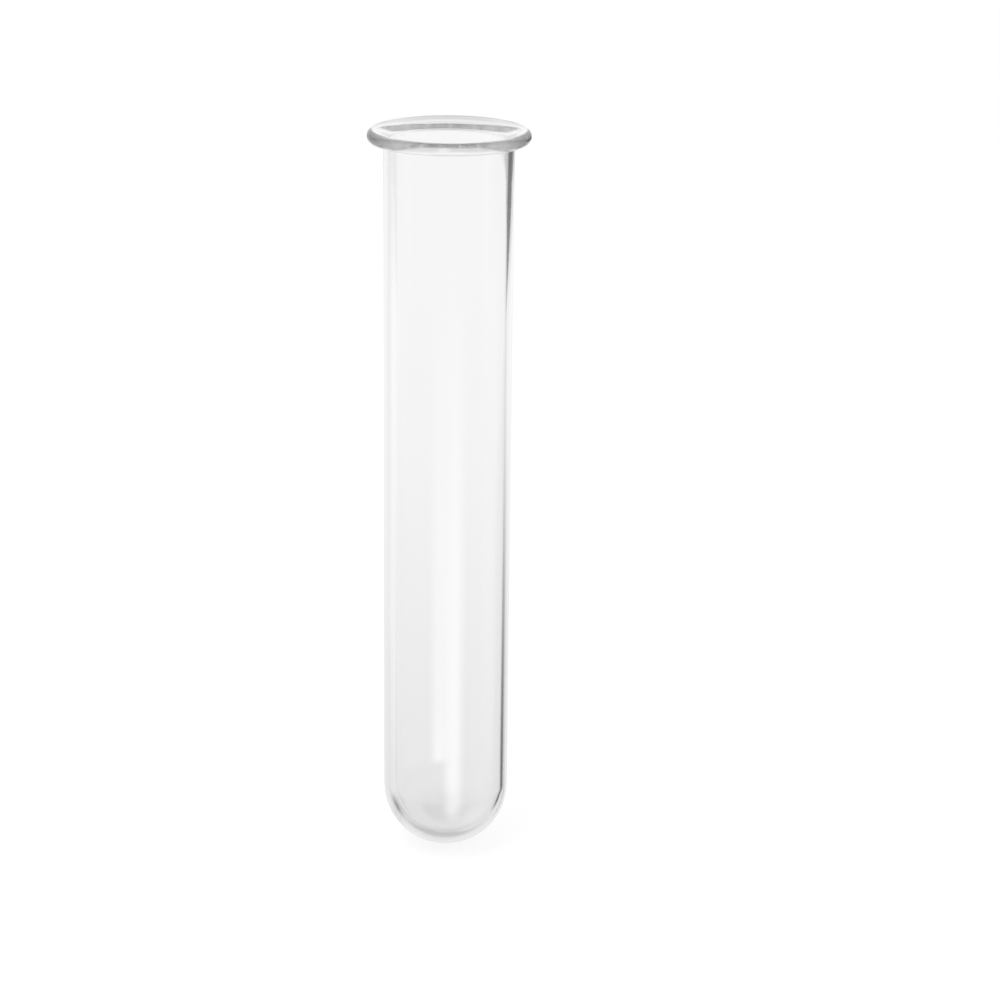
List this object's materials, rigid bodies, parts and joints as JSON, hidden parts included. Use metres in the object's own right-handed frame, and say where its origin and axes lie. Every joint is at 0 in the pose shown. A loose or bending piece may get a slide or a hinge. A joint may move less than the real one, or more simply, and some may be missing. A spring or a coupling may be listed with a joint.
{
  "type": "test tube vase",
  "caption": "Clear glass tube with a round closed bottom and a rounded lip turned out at the mouth; hangs by its lip to hold water and a cut stem.",
  "frame": {"origin": "lowest point of the round bottom, on the tube's axis", "axes": "+Z along the tube's axis, from the closed bottom to the open mouth; X and Y are free, because the tube is round"},
  "size_m": [0.0234, 0.0234, 0.11],
  "materials": {
    "clear_glass": "clear and fire-polished"
  },
  "bodies": {
    "root": {"glass_tube": "clear_glass"}
  },
  "joints": []
}
